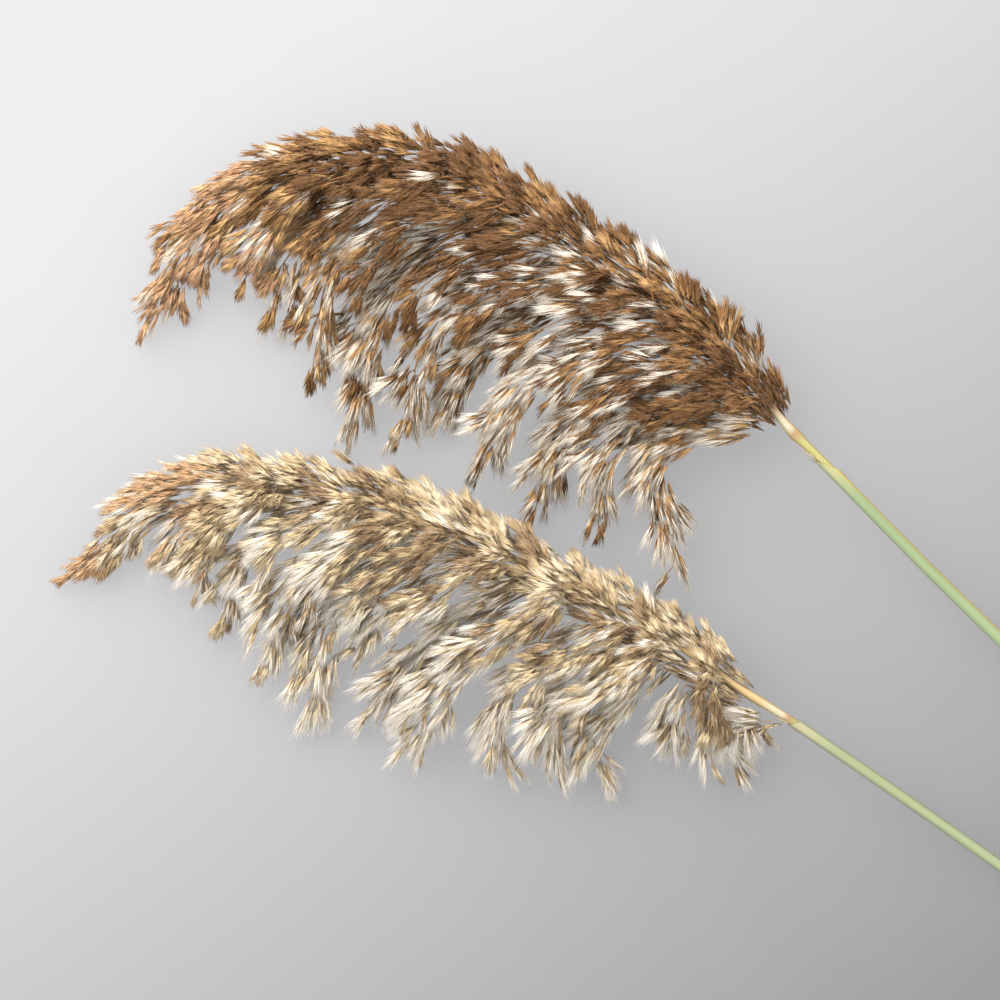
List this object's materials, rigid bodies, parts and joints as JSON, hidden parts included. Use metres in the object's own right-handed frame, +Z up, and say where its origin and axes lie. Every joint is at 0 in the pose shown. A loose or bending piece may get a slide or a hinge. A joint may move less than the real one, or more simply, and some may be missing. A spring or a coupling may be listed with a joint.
{
  "type": "bunch of reeds",
  "caption": "Cut common reeds with drooping feathery plumes on slender stems in green leaf sheaths, lying side by side on a surface.",
  "frame": {"origin": "on the surface that the bunch lies on, under the middle of the bunch's box", "axes": "+Z up from the surface, towards the camera of the picture; +X to the picture's right, where the stems are cut; +Y to the picture's top"},
  "size_m": [0.5493, 0.4173, 0.0531],
  "materials": {
    "stem": "smooth straw-yellow culm with fine lengthwise streaks",
    "sheath": "dull pale green leaf sheath with fine ribs",
    "upper_plume": "brown pointed husks with silvery silk",
    "lower_plume": "pale straw husks with white silk"
  },
  "bodies": {
    "root": {"lower_leaf_sheath": "sheath", "lower_side_branch_01": "lower_plume", "lower_side_branch_02": "lower_plume", "lower_side_branch_03": "lower_plume", "lower_side_branch_04": "lower_plume", "lower_side_branch_05": "lower_plume", "lower_side_branch_06": "lower_plume", "lower_side_branch_07": "lower_plume", "lower_side_branch_08": "lower_plume", "lower_side_branch_09": "lower_plume", "lower_side_branch_10": "lower_plume", "lower_side_branch_11": "lower_plume", "lower_side_branch_12": "lower_plume", "lower_side_branch_13": "lower_plume", "lower_side_branch_14": "lower_plume", "lower_stem": "stem", "lower_tip_branch": "lower_plume", "lower_top_branch_01": "lower_plume", "lower_top_branch_02": "lower_plume", "lower_top_branch_03": "lower_plume", "lower_top_branch_04": "lower_plume", "lower_top_branch_05": "lower_plume", "lower_top_branch_06": "lower_plume", "lower_top_branch_07": "lower_plume", "lower_top_branch_08": "lower_plume", "lower_top_branch_09": "lower_plume", "lower_under_branch_01": "lower_plume", "lower_under_branch_02": "lower_plume", "lower_under_branch_03": "lower_plume", "lower_under_branch_04": "lower_plume", "lower_under_branch_05": "lower_plume", "upper_leaf_sheath": "sheath", "upper_side_branch_01": "upper_plume", "upper_side_branch_02": "upper_plume", "upper_side_branch_03": "upper_plume", "upper_side_branch_04": "upper_plume", "upper_side_branch_05": "upper_plume", "upper_side_branch_06": "upper_plume", "upper_side_branch_07": "upper_plume", "upper_side_branch_08": "upper_plume", "upper_side_branch_09": "upper_plume", "upper_side_branch_10": "upper_plume", "upper_side_branch_11": "upper_plume", "upper_stem": "stem", "upper_tip_branch": "upper_plume", "upper_top_branch_01": "upper_plume", "upper_top_branch_02": "upper_plume", "upper_top_branch_03": "upper_plume", "upper_top_branch_04": "upper_plume", "upper_top_branch_05": "upper_plume", "upper_top_branch_06": "upper_plume", "upper_top_branch_07": "upper_plume", "upper_top_branch_08": "upper_plume", "upper_top_branch_09": "upper_plume", "upper_under_branch_01": "upper_plume", "upper_under_branch_02": "upper_plume", "upper_under_branch_03": "upper_plume", "upper_under_branch_04": "upper_plume", "upper_under_branch_05": "upper_plume"}
  },
  "joints": []
}
